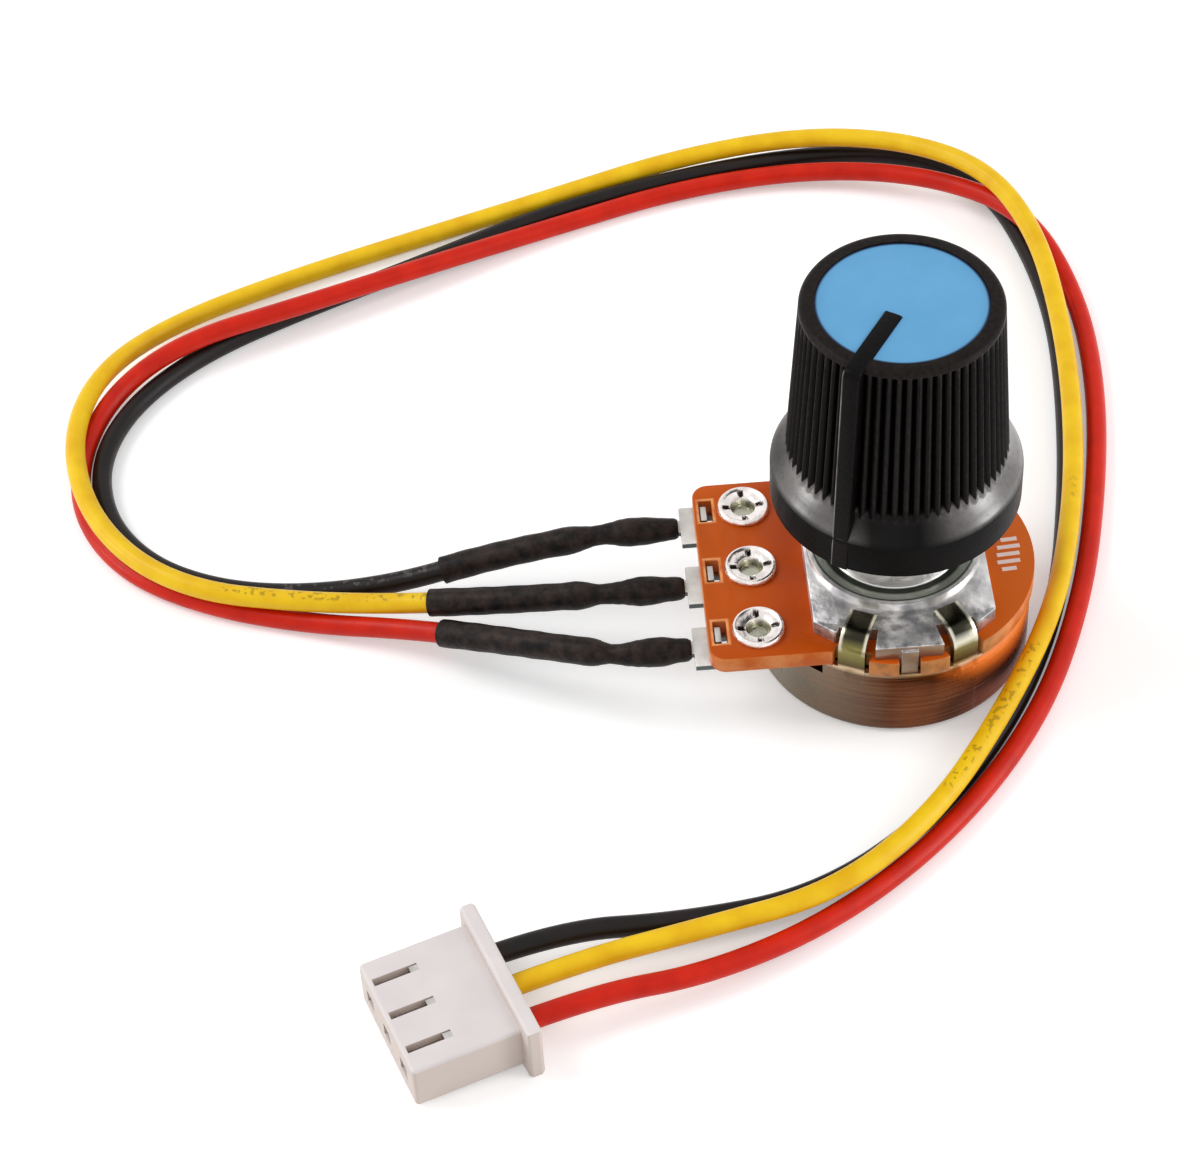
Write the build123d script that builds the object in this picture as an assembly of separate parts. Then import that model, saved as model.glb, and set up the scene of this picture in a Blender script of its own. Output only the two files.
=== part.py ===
"""Panel rotary potentiometer, 16 mm class: a drawn can closed by a resistance board and a die-cast
front plate with a threaded bushing, a splined 6 mm shaft with a push-on knob, and three wires in
heat-shrink sleeves that end in a flat three-way plug.

Millimetres. The origin is the centre of the can's flat back, on the shaft's axis. +Z runs up the
shaft, and the terminals leave towards -X. Terminals, rivets, wires and contacts are numbered from
+Y to -Y.
"""
from build123d import *
import math
import os

# ---- driving dimensions ---------------------------------------------------------------------
# stack along the shaft
can_height = 5.3
board_thickness = 1.2
plate_thickness = 1.0
boss_height = 0.6
bushing_length = 6.5
shaft_length = 15.0          # from the boss's face to the shaft's tip
slide_gap = 0.1              # end play between the shaft's shoulder and the bushing
knob_height = 14.9
knob_rise = 4.8              # from the boss's face to the knob's lower rim

# drawn can
can_radius = 8.45
sheet = 0.4
can_corner = 0.55
window_half = 6.8
window_depth = 1.15
stop_half_width = 0.6
rim_overlap = 0.8            # how far a claw's root runs down into the rim
stop_reach = 1.35

# claws folded from the can over the plate
claw_width = 1.65
claw_angle = 24.0            # each side of the Y axis
claw_bend = 1.0
claw_tip = can_radius - 2.45     # how near the axis the folded end comes
claw_seat = can_radius - 1.25    # the plate is cut back to this radius at each claw
claw_gap = 0.3
claw_notch = can_radius - 0.65   # the board is notched outside this radius for the claws and the key

# resistance board
board_radius = can_radius + 0.15
tail_reach = 11.74           # from the axis to the terminal edge
tail_half = 7.2
tail_corner = 1.0
board_bore = 3.6

# terminals and their rivets
terminal_pitch = 5.0
rivet_reach = 8.7
rivet_barrel = 1.0
rivet_bore = 0.6
rivet_head = 1.6
rivet_head_height = 0.38
rivet_slit = 0.26
rivet_slit_reach = 1.2       # the slits stop short of the head's rim
rivet_foot = 0.25
rivet_foot_radius = 1.35
rivet_floor = 0.45           # metal left under the blind bore
terminal_half = 1.55
terminal_reach = 12.6
lug_half = 0.5
lug_reach = 15.4
barb_half = 0.6
barb_reach = 11.35
barb_length = 1.0            # how far each barb stands up from its terminal
barb_gap = 0.05
barb_slot_length = 0.8
barb_slot_half = 0.875

# printed tracks under the board
track_film = 0.1
track_room = can_radius - board_bore
collector_inner = board_bore + 0.15
collector_outer = collector_inner + 0.2 * track_room
track_outer = can_radius - 1.55
track_inner = track_outer - 0.33 * track_room
track_tab_half = 1.0
collector_tab_half = 0.8
film_gap = 0.05              # between the end of a tab and its terminal
tab_hug = 0.25               # how far a tab's sides run along its terminal's round end
travel = 300.0               # full electrical travel, centred on +X
pointer_angle = -123.0       # where the pointer and the wiper stand at rest, from +X

# front plate and bushing
plate_half = can_radius - 3.0
plate_side = plate_half + 0.15
plate_shoulder_x = plate_half - 1.15
plate_shoulder_y = plate_side + 0.95
tongue_root = 1.5
tongue_tip = 2.05
tongue_reach = can_radius - 0.3
key_half = 0.5               # the bent key that locks the plate in the board's rim
key_thickness = 0.5
lug_key_half = 1.4           # anti-rotation lug
lug_key_thickness = 1.0
lug_key_height = 2.0
key_hang = 1.15              # how far the bent key reaches below the plate
key_notch = 0.15
boss_radius = claw_tip - 0.7
collar_radius = 4.1
collar_land = 0.15
collar_height = 0.5
bushing_radius = 3.5
undercut_depth = 0.35
undercut_width = 0.7
thread_pitch = 0.75
thread_depth = 0.3
thread_rings = 7

# shaft, ring and rotor
shaft_radius = 3.0
journal_radius = 2.45
running_gap = 0.03
spline_teeth = 18
spline_depth = 0.25
spline_length = 7.3
slot_width = 1.0
slot_depth = 6.5
ring_radius = 3.3
ring_thickness = 0.45
groove_radius = 1.9
tang_radius = 2.0
tang_flat = 1.6
tang_gap = 0.03
tang_bottom = 1.3
journal_bottom = 4.4
groove_bottom = 5.95
ring_slit = 1.6
shaft_chamfer = 0.3
rotor_radius = can_radius - sheet - stop_reach - 0.2
rotor_floor_gap = 0.3
rotor_top_drop = 1.3         # from the board's underside down to the rotor's face
rotor_web = 1.3
rotor_hub = 3.4
stop_lug_inner = rotor_radius - 0.1
stop_lug_outer = can_radius - sheet - 0.25
stop_clearance = 0.4         # degrees left between lug and stop at each end
wiper_sheet = 0.15
wiper_gap = 0.06             # left between the contact's crest and the film
wiper_ring_inner = 2.7
wiper_ring_outer = 4.9
wiper_root = -2.6            # where the fingers leave the crosspiece, along the travel
crosspiece_length = 0.6
outer_finger = (track_inner + 0.2, track_outer - 0.2)
inner_finger = (collector_inner + 0.05, collector_outer - 0.1)

# knob
knob_top_radius = 5.88
knob_foot_radius = 6.64
knob_skirt_radius = 7.48
skirt_band = 2.35
rib_count = 64
rib_depth = 0.3
rim_height = 0.45
skirt_cavity = 6.5
skirt_ceiling = 2.4          # above the knob's lower rim
hub_bottom = 2.1             # above the knob's lower rim
hub_radius = 4.2
hub_cavity = 5.1
hub_cavity_roof = 12.1       # above the knob's lower rim
bore_roof = 0.5              # above the shaft's tip
cap_radius = 4.95
cap_thickness = 0.8
cap_sink = 0.1
cap_fit = 0.02
spigot_radius = 2.0
spigot_length = 1.3
pointer_half = 0.525
pointer_start = 1.05
fin_top = 6.6
fin_nose = 0.4
fin_foot = 7.6
bore_fit = 0.02
star_foot = 2.7              # where the ribs start, above the lower rim
flare = [(7.4, 2.5), (6.75, 3.25), (6.2, 4.3)]

# wires, sleeves and solder
wire_radius = 0.65
strand_radius = 0.36         # the bare strands, twisted and tinned
strand_gap = 0.02
joint_run = {"black": 2.3, "yellow": 2.1, "red": 1.9}     # from each lug's tip to where its joint turns down
joint_bend_reach = 0.9       # length of straight taken up by that bend on each side
sleeve_radius = 0.86
sleeve_bulge = 0.9
sleeve_waist = 0.62
sleeve_mouth = 0.6
sleeve_mouth_bore = 0.56
sleeve_fit = 0.04
sleeve_start = 12.75
sleeve_reach = 27.0          # the sleeves end half way along the run that crosses this distance
swell_length = 0.7           # over which a sleeve widens again behind its waist
solder_radius = 0.6
solder_start = 14.1
solder_length = 1.9
corner_share = 0.45          # part of the shorter run taken up by each bend

# plug
plug_pitch = 2.5
plug_body_width = 8.2
plug_body_length = 6.5
plug_body_bottom = 0.3
plug_body_top = 3.6
plug_flange_width = 9.8
plug_flange_height = 4.1
plug_flange_length = 1.0
plug_angle = 200.4           # direction from the wire face to the mating face
plug_x = -24.9
plug_y = -26.45
cavity_width = 1.86
cavity_height = 2.0
wire_level = 2.0             # height of the wires' axes in the plug
mating_width = 1.0
mating_height = 1.0
window_length = 2.7
window_width = 0.5
contact_sheet = 0.2
contact_fit = 0.02
plug_end_wall = 0.6
window_start = 4.5           # from the wire face
contact_start = 2.6
contact_end = 6.8
crimp_start = 0.5
crimp_end = 1.9
lance_length = 0.5
lance_height = 0.55
lance_half = 0.2
wire_entry = 2.2             # how far each wire reaches into the plug
plug_lead = 3.8              # straight length of wire outside the plug

# ---- levels worked out from the stack -------------------------------------------------------
board_bottom = can_height
board_top = board_bottom + board_thickness
plate_top = board_top + plate_thickness
boss_top = plate_top + boss_height
bushing_top = boss_top + bushing_length
shaft_top = boss_top + shaft_length
knob_bottom = boss_top + knob_rise
knob_top = knob_bottom + knob_height
window_floor = can_height - window_depth
rotor_top = board_bottom - rotor_top_drop
terminal_y = [terminal_pitch, 0.0, -terminal_pitch]
claw_angles = [side * 90 + turn * claw_angle for side in (1, -1) for turn in (1, -1)]

# ---- routes of the wires: corner points of each centre line between its sleeve and the plug -----
route_black = [
    (-24.6, 5.5, 3.3),
    (-30.5, 5.5, 1.4),
    (-36.8, 5.8, 0.68),
    (-42.2, 6.9, 0.68),
    (-46.6, 9.6, 0.68),
    (-49.3, 13.9, 0.68),
    (-49.8, 19.2, 0.68),
    (-47.6, 24.3, 0.68),
    (-42.9, 28.7, 0.68),
    (-36.2, 32.2, 0.68),
    (-28.1, 35.8, 0.68),
    (-19.2, 40.1, 0.68),
    (-9.4, 43.0, 0.68),
    (-0.1, 44.4, 0.68),
    (7.4, 43.5, 0.68),
    (11.9, 39.1, 0.68),
    (13.7, 32.3, 0.68),
    (14.3, 25.5, 0.68),
    (13.8, 18.0, 0.68),
    (12.6, 9.6, 0.68),
    (10.6, 0.5, 0.68),
    (6.6, -8.2, 0.68),
    (0.6, -15.8, 0.68),
    (-6.8, -20.8, 0.68),
    (-14.9, -22.4, 1.3),
]
route_yellow = [
    (-25.1, 1.5, 3.6),
    (-31.7, 3.2, 2.2),
    (-37.1, 4.1, 2.06),
    (-43.0, 5.5, 2.10),
    (-47.6, 8.9, 2.09),
    (-50.6, 14.2, 2.09),
    (-51.5, 20.6, 2.10),
    (-49.7, 26.7, 1.7),
    (-44.9, 31.6, 0.9),
    (-37.4, 35.2, 0.68),
    (-28.5, 38.4, 0.68),
    (-19.2, 41.6, 0.68),
    (-9.8, 44.3, 1.3),
    (-0.9, 44.7, 2.2),
    (6.4, 42.5, 2.9),
    (11.4, 38.1, 3.6),
    (13.8, 31.8, 3.3),
    (14.4, 24.3, 2.2),
    (13.9, 15.9, 1.98),
    (12.5, 7.3, 2.07),
    (10.1, -1.1, 2.10),
    (5.8, -9.0, 2.10),
    (0.6, -16.4, 2.01),
    (-5.8, -21.5, 1.91),
    (-13.9, -23.6, 2.2),
]
route_red = [
    (-21.5, -3.2, 4.35),
    (-25.4, -1.1, 3.2),
    (-30.1, 1.5, 1.6),
    (-36.0, 3.3, 0.68),
    (-42.2, 5.3, 0.68),
    (-47.6, 8.6, 0.68),
    (-50.8, 13.8, 0.68),
    (-51.1, 19.8, 0.68),
    (-48.8, 25.0, 1.3),
    (-44.1, 28.4, 2.12),
    (-36.8, 31.0, 1.99),
    (-28.1, 34.6, 1.5),
    (-19.0, 38.6, 0.68),
    (-9.7, 41.7, 0.68),
    (-0.3, 42.3, 1.1),
    (7.8, 39.9, 1.8),
    (13.7, 35.0, 2.3),
    (16.2, 27.7, 0.68),
    (16.0, 18.7, 0.68),
    (14.4, 9.4, 0.68),
    (12.0, 0.3, 0.68),
    (8.1, -8.5, 0.68),
    (2.0, -16.3, 0.68),
    (-5.5, -22.4, 0.8),
    (-13.4, -26.1, 1.3),
]


# ---- shapes used again and again ------------------------------------------------------------
def disc(radius, bottom, top, x=0.0, y=0.0):
    """A round post standing on the level called bottom."""
    post = Cylinder(radius, top - bottom, align=(Align.CENTER, Align.CENTER, Align.MIN))
    return Pos(x, y, bottom) * post


def block(xs, ys, zs):
    """A box between three pairs of limits."""
    size = [high - low for low, high in (xs, ys, zs)]
    return Pos(xs[0], ys[0], zs[0]) * Box(*size, align=(Align.MIN, Align.MIN, Align.MIN))


def turned(profile):
    """A closed (radius, height) outline turned round the Z axis."""
    return revolve(make_face(Plane.XZ * Polyline(*profile, close=True)), Axis.Z)


def slab(outline, bottom, top):
    """A closed (x, y) outline raised between two levels."""
    return extrude(Pos(0, 0, bottom) * make_face(Polyline(*outline, close=True)), amount=top - bottom)


def rib(outline, half_width):
    """A closed (radius, height) outline standing in the XZ plane, thickened both ways."""
    return extrude(make_face(Plane.XZ * Polyline(*outline, close=True)), amount=half_width, both=True)


def star(peak, depth, teeth, height):
    """Corners of a toothed ring, one peak and one valley for each tooth."""
    corners = []
    for k in range(2 * teeth):
        angle = math.pi * k / teeth
        radius = peak - depth * (k % 2)
        corners.append((radius * math.cos(angle), radius * math.sin(angle), height))
    return corners


def sector(inner, outer, start, end, bottom, top):
    """Part of a ring between two angles in degrees."""
    steps = max(2, math.ceil((end - start) / 90) + 1)
    far = outer / math.cos(math.radians((end - start) / (steps - 1) / 2)) + 1
    fan = [(0, 0)]
    for k in range(steps):
        angle = math.radians(start + (end - start) * k / (steps - 1))
        fan.append((far * math.cos(angle), far * math.sin(angle)))
    ring = disc(outer, bottom, top) - disc(inner, bottom - 1, top + 1)
    return ring & slab(fan, bottom, top)


parts = {}

# ---- rear can with its claws ------------------------------------------------------------------
shell = disc(can_radius, 0, can_height)
shell = fillet(shell.edges().group_by(Axis.Z)[0], can_corner)
hollow = disc(can_radius - sheet, sheet, can_height)
hollow = fillet(hollow.edges().group_by(Axis.Z)[0], can_corner - sheet)
shell = shell - hollow
window_x = math.sqrt(can_radius ** 2 - window_half ** 2) - 2 * sheet
shell = shell - block((-can_radius - 1, -window_x), (-window_half, window_half),
                      (window_floor, can_height + 1))

stop_tip = can_radius - sheet - stop_reach
stop_tab = block((-can_radius + sheet / 2, -stop_tip), (-stop_half_width, stop_half_width),
                 (window_floor - sheet, window_floor))
shell = shell + stop_tab

claw_mid = can_radius - sheet / 2 - 0.02
claw_roof = plate_top + sheet / 2
claw_path = FilletPolyline((claw_mid, 0, can_height - rim_overlap), (claw_mid, 0, claw_roof),
                           (claw_tip, 0, claw_roof), radius=claw_bend)
claw_section = Plane.XY.offset(can_height - rim_overlap) * Pos(claw_mid, 0) * Rectangle(sheet, claw_width)
claw = sweep(claw_section, path=claw_path)
for angle in claw_angles:
    shell = shell + Rot(0, 0, angle) * claw
parts["rear_can"] = shell

# ---- resistance board ---------------------------------------------------------------------------
tail = block((-tail_reach, 0), (-tail_half, tail_half), (board_bottom, board_top))
tail = fillet(tail.edges().filter_by(Axis.Z).group_by(Axis.X)[0], tail_corner)
board = disc(board_radius, board_bottom, board_top) + tail
board = board - disc(board_bore, board_bottom - 1, board_top + 1)
through = (board_bottom - 1, board_top + 1)
notch_half = claw_width / 2 + claw_gap
for angle in claw_angles:
    notch = block((claw_notch, board_radius + 1), (-notch_half, notch_half), through)
    board = board - Rot(0, 0, angle) * notch
board = board - block((-key_half - key_notch, key_half + key_notch), (-board_radius - 1, -claw_notch),
                      through)
barb_slot = (-barb_reach - barb_gap, -barb_reach - barb_gap + barb_slot_length)
for y in terminal_y:
    board = board - disc(rivet_barrel, *through, -rivet_reach, y)
    board = board - block(barb_slot, (y - barb_slot_half, y + barb_slot_half), through)
parts["track_board"] = board

# ---- printed tracks -------------------------------------------------------------------------------
film_bottom = board_bottom - track_film
terminal_distance = math.hypot(rivet_reach, terminal_pitch)
track_tab_reach = terminal_distance - terminal_half + tab_hug
track = sector(track_inner, track_outer, -travel / 2, travel / 2, film_bottom, board_bottom)
for side in (-1, 1):
    tab = block((track_outer - 0.5, track_tab_reach), (-track_tab_half, track_tab_half),
                (film_bottom, board_bottom))
    track = track + Rot(0, 0, side * travel / 2) * tab

collector_tab_reach = rivet_reach - terminal_half + tab_hug
collector = disc(collector_outer, film_bottom, board_bottom)
collector = collector + block((-collector_tab_reach, 0), (-collector_tab_half, collector_tab_half),
                              (film_bottom, board_bottom))
collector = collector - disc(collector_inner, film_bottom - 1, board_bottom + 1)
for y in terminal_y:
    terminal_end = disc(terminal_half + film_gap, film_bottom - 1, board_bottom + 1, -rivet_reach, y)
    if y == 0:
        collector = collector - terminal_end
    else:
        track = track - terminal_end
parts["carbon_track"] = track
parts["collector_ring"] = collector

# ---- terminals and their rivets -------------------------------------------------------------------
terminal_bottom = board_bottom - sheet
terminal_levels = (terminal_bottom, board_bottom)
terminal = block((-terminal_reach, -rivet_reach), (-terminal_half, terminal_half), terminal_levels)
terminal = terminal + disc(terminal_half, terminal_bottom, board_bottom, -rivet_reach)
terminal = terminal + block((-lug_reach, -terminal_reach), (-lug_half, lug_half), terminal_levels)
barb_root = -barb_reach + sheet
terminal = terminal - block((barb_root, barb_root + barb_length), (-barb_half, barb_half),
                            (terminal_bottom - 1, board_bottom + 1))
terminal = terminal + block((-barb_reach, barb_root), (-barb_half, barb_half),
                            (terminal_bottom, board_bottom + barb_length))
terminal = terminal - disc(rivet_barrel, terminal_bottom - 1, board_bottom + 1, -rivet_reach)

foot = terminal_bottom - rivet_foot
head = board_top + rivet_head_height
crown = rivet_head_height / 2
rivet = turned([
    (0, foot), (rivet_foot_radius, foot), (rivet_foot_radius, terminal_bottom),
    (rivet_barrel, terminal_bottom), (rivet_barrel, board_top), (rivet_head, board_top),
    (rivet_head, head - crown), (rivet_head - crown, head), (rivet_bore + crown, head),
    (rivet_bore, head - crown), (rivet_bore, foot + rivet_floor), (0, foot + rivet_floor),
])
for angle in (0, 90):
    slit = block((-rivet_slit_reach, rivet_slit_reach), (-rivet_slit / 2, rivet_slit / 2),
                 (board_top, head + 1))
    rivet = rivet - Rot(0, 0, angle) * slit

for number, y in enumerate(terminal_y, start=1):
    parts[f"terminal_{number}"] = Pos(0, y, 0) * terminal
    parts[f"rivet_{number}"] = Pos(-rivet_reach, y, 0) * rivet

# ---- front plate, boss and threaded bushing -------------------------------------------------------
plate = slab([
    (plate_half, plate_side), (plate_shoulder_x, plate_shoulder_y), (-plate_shoulder_x, plate_shoulder_y),
    (-plate_half, plate_side), (-plate_half, -plate_side), (-plate_shoulder_x, -plate_shoulder_y),
    (plate_shoulder_x, -plate_shoulder_y), (plate_half, -plate_side),
], board_top, plate_top)
tongue_base = plate_side
tongue = slab([(-tongue_root, tongue_base), (tongue_root, tongue_base), (tongue_tip, tongue_reach),
               (-tongue_tip, tongue_reach)], board_top, plate_top)
plate = plate + tongue + Rot(0, 0, 180) * tongue
seat_half = claw_width / 2 + claw_gap
for angle in claw_angles:
    seat = block((claw_seat, board_radius + 1), (-seat_half, seat_half), (board_top - 1, plate_top + 1))
    plate = plate - Rot(0, 0, angle) * seat

key_back = -tongue_reach + (key_thickness - 0.2)
plate = plate + block((-key_half, key_half), (key_back - key_thickness, key_back),
                      (board_top - key_hang, plate_top - key_thickness / 2))
plate = plate + block((-lug_key_half, lug_key_half), (tongue_reach - lug_key_thickness, tongue_reach),
                      (board_top, plate_top + lug_key_height))
plate = plate + disc(boss_radius, board_top, boss_top)
undercut = bushing_radius - undercut_depth
plate = plate + turned([(0, boss_top), (collar_radius, boss_top), (collar_radius, boss_top + collar_land),
                        (undercut, boss_top + collar_height), (0, boss_top + collar_height)])

thread_root = bushing_radius - thread_depth
thread_start = boss_top + undercut_width
screw = [(0, plate_top), (undercut, plate_top), (undercut, thread_start)]
for k in range(thread_rings):
    low = thread_start + k * thread_pitch
    screw.append((bushing_radius, low + thread_pitch * 0.4))
    screw.append((bushing_radius, low + thread_pitch * 0.5))
    screw.append((thread_root, low + thread_pitch * 0.9))
screw += [(thread_root, bushing_top), (0, bushing_top)]
plate = plate + turned(screw)
parts["mounting_plate"] = plate - disc(journal_radius + running_gap, board_top - 1, bushing_top + 1)

# ---- shaft and its retaining ring -----------------------------------------------------------------
shoulder = bushing_top + slide_gap
groove_top = groove_bottom + ring_thickness
shaft = disc(tang_radius, tang_bottom, journal_bottom)
shaft = shaft & block((-shaft_radius, shaft_radius), (-tang_flat, tang_flat), (tang_bottom, journal_bottom))
shaft = shaft + turned([
    (0, journal_bottom), (journal_radius, journal_bottom), (journal_radius, groove_bottom),
    (groove_radius, groove_bottom), (groove_radius, groove_top), (journal_radius, groove_top),
    (journal_radius, shoulder), (shaft_radius, shoulder), (shaft_radius, shaft_top - spline_length),
    (0, shaft_top - spline_length),
])
teeth = extrude(make_face(Polyline(*star(shaft_radius, spline_depth, spline_teeth, shaft_top - spline_length),
                                   close=True)), amount=spline_length)
tip = turned([(0, shoulder), (shaft_radius, shoulder), (shaft_radius, shaft_top - shaft_chamfer),
              (shaft_radius - shaft_chamfer, shaft_top), (0, shaft_top)])
shaft = shaft + (teeth & tip)
shaft = shaft - block((-shaft_radius - 1, shaft_radius + 1), (-slot_width / 2, slot_width / 2),
                      (shaft_top - slot_depth, shaft_top + 1))
parts["shaft"] = Rot(0, 0, pointer_angle) * shaft

ring = disc(ring_radius, groove_bottom, groove_top) - disc(groove_radius, groove_bottom - 1, groove_top + 1)
ring = ring - block((0, ring_radius + 1), (-ring_slit / 2, ring_slit / 2),
                    (groove_bottom - 1, groove_top + 1))
parts["retaining_ring"] = Rot(0, 0, pointer_angle) * ring

# ---- rotor and wiper ------------------------------------------------------------------------------
rotor_bottom = sheet + rotor_floor_gap
rotor = disc(rotor_radius, rotor_top - rotor_web, rotor_top) + disc(rotor_hub, rotor_bottom, rotor_top)
tang_socket = disc(tang_radius + tang_gap, rotor_bottom - 1, rotor_top + 1)
tang_socket = tang_socket & block((-rotor_hub, rotor_hub), (-tang_flat - tang_gap, tang_flat + tang_gap),
                                  (rotor_bottom - 1, rotor_top + 1))
stop_half_angle = math.degrees(math.asin(stop_half_width / stop_tip))
lug_half_angle = 180 - travel / 2 - stop_half_angle - stop_clearance
rotor = rotor + sector(stop_lug_inner, stop_lug_outer, -lug_half_angle, lug_half_angle,
                       rotor_top - rotor_web, rotor_top)
parts["rotor"] = Rot(0, 0, pointer_angle) * (rotor - tang_socket)

crest = film_bottom - wiper_gap
base_top = rotor_top + wiper_sheet
wiper = disc(wiper_ring_outer, rotor_top, base_top) - disc(wiper_ring_inner, rotor_top - 1, base_top + 1)
crosspiece = (wiper_root, wiper_root + crosspiece_length)
wiper = wiper + block((inner_finger[0], outer_finger[1]), crosspiece, (rotor_top, base_top))
finger_side = [
    (wiper_root, rotor_top), (wiper_root + crosspiece_length, rotor_top), (0.2, crest - 1.2 * wiper_sheet),
    (0.85, crest - 0.4), (0.95, crest - 0.28), (0.2, crest), (wiper_root + 0.5, base_top),
    (wiper_root, base_top),
]
for near, far in (outer_finger, inner_finger):
    finger = extrude(make_face(Plane.YZ.offset(near) * Polyline(*finger_side, close=True)), amount=far - near)
    wiper = wiper + finger
parts["wiper"] = Rot(0, 0, pointer_angle) * wiper

# ---- knob and its cap -----------------------------------------------------------------------------
skirt = [(0, knob_bottom), (knob_skirt_radius, knob_bottom), (knob_skirt_radius, knob_bottom + skirt_band)]
skirt += [(radius, knob_bottom + rise) for radius, rise in flare]
skirt.append((0, knob_bottom + flare[-1][1]))
rim_bottom = knob_top - rim_height
foot_star = star(knob_foot_radius, rib_depth, rib_count, knob_bottom + star_foot)
head_star = star(knob_top_radius, rib_depth, rib_count, rim_bottom)
star_faces = [make_face(Polyline(*corners, close=True)) for corners in (foot_star, head_star)]
knob = turned(skirt) + loft(star_faces, ruled=True)
rim = disc(knob_top_radius, rim_bottom, knob_top)
knob = knob + chamfer(rim.edges().group_by(Axis.Z)[-1], rim_height / 3)

recess_floor = knob_top - cap_sink - cap_thickness
knob = knob - disc(cap_radius + cap_fit, recess_floor, knob_top + 1)
knob = knob - disc(spigot_radius + cap_fit, recess_floor - spigot_length, knob_top)
hub_foot = knob_bottom + hub_bottom
knob = knob - disc(skirt_cavity, knob_bottom - 1, hub_foot)
gallery = disc(hub_cavity, hub_foot - 1, knob_bottom + hub_cavity_roof)
knob = knob - (gallery - disc(hub_radius, knob_bottom, knob_top))
skirt_space = disc(skirt_cavity, hub_foot - 1, knob_bottom + skirt_ceiling)
knob = knob - (skirt_space - disc(hub_radius, knob_bottom, knob_top))
knob = knob - disc(shaft_radius + bore_fit, hub_foot - 1, shaft_top + bore_roof)

fin_root = knob_skirt_radius - rim_height
fin_inside = hub_cavity + rib_depth
fin_ledge = recess_floor - cap_thickness
fin = rib([
    (pointer_start, recess_floor), (pointer_start, knob_top), (fin_top - fin_nose, knob_top),
    (fin_top, knob_top - fin_nose), (fin_foot, knob_bottom), (fin_root, knob_bottom),
    (fin_root, knob_bottom + skirt_ceiling), (fin_inside, knob_bottom + flare[-1][1]),
    (fin_inside, fin_ledge), (cap_radius, fin_ledge), (spigot_radius + rib_depth, recess_floor),
], pointer_half)
parts["knob_body"] = Rot(0, 0, pointer_angle) * (knob + fin)

cap = disc(cap_radius, recess_floor, knob_top - cap_sink)
slot = block((pointer_start - cap_fit, cap_radius + 1), (-pointer_half - cap_fit, pointer_half + cap_fit),
             (recess_floor - cap_fit, knob_top))
cap = cap + disc(spigot_radius, recess_floor - spigot_length, recess_floor)
parts["knob_cap"] = Rot(0, 0, pointer_angle) * (cap - slot)

# ---- wires, sleeves and soldered joints -----------------------------------------------------------
joint_level = board_bottom - sheet / 2
plug_frame = Pos(plug_x, plug_y, 0) * Rot(0, 0, plug_angle)
contact_y = [-plug_pitch, 0.0, plug_pitch]


def in_plug(x, y, z):
    """A point of the plug's own frame, in the part's frame."""
    place = (plug_frame * Pos(x, y, z)).position
    return (place.X, place.Y, place.Z)


def corner_radii(points):
    """Bend radius at each corner, so a bend takes the same share of its shorter run."""
    radii = []
    for before, corner, after in zip(points, points[1:], points[2:]):
        arriving = Vector(*corner) - Vector(*before)
        leaving = Vector(*after) - Vector(*corner)
        turn = math.radians(arriving.get_angle(leaving))
        radii.append(corner_share * min(arriving.length, leaving.length) / math.tan(turn / 2))
    return radii


def tube(radius, path):
    """A round section swept along a path."""
    return sweep(Plane(origin=path @ 0, z_dir=path % 0) * Circle(radius), path=path)


def halfway(start, end):
    """The middle of a straight run."""
    return tuple((low + high) / 2 for low, high in zip(start, end))


def beyond(start, end, distance):
    """The point at a distance from the start of a straight run."""
    share = distance / (Vector(*end) - Vector(*start)).length
    return tuple(low + share * (high - low) for low, high in zip(start, end))


# from the mouth of a sleeve to its waist
waist_depth = lug_reach + min(joint_run.values()) - joint_bend_reach - sleeve_start - 0.05
solder_space = solder_radius + sleeve_fit
sleeve_joint = turned([
    (sleeve_mouth_bore, 0), (sleeve_mouth, 0), (sleeve_mouth + 0.12, 0.5), (sleeve_bulge, 1.6),
    (sleeve_bulge, 2.6), (sleeve_waist, waist_depth), (strand_radius + sleeve_fit, waist_depth),
    (solder_space, 2.8), (solder_space, 1.25), (sleeve_mouth_bore, 1.0),
])
solder_drop = turned([
    (0, 0), (solder_radius - 0.2, 0), (solder_radius, 0.25), (solder_radius, 1.3),
    (strand_radius + 0.04, solder_length), (0, solder_length),
])
swell = turned([(0, 0), (sleeve_waist, 0), (sleeve_radius, swell_length), (0, swell_length)])
routes = {"black": route_black, "yellow": route_yellow, "red": route_red}
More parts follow.
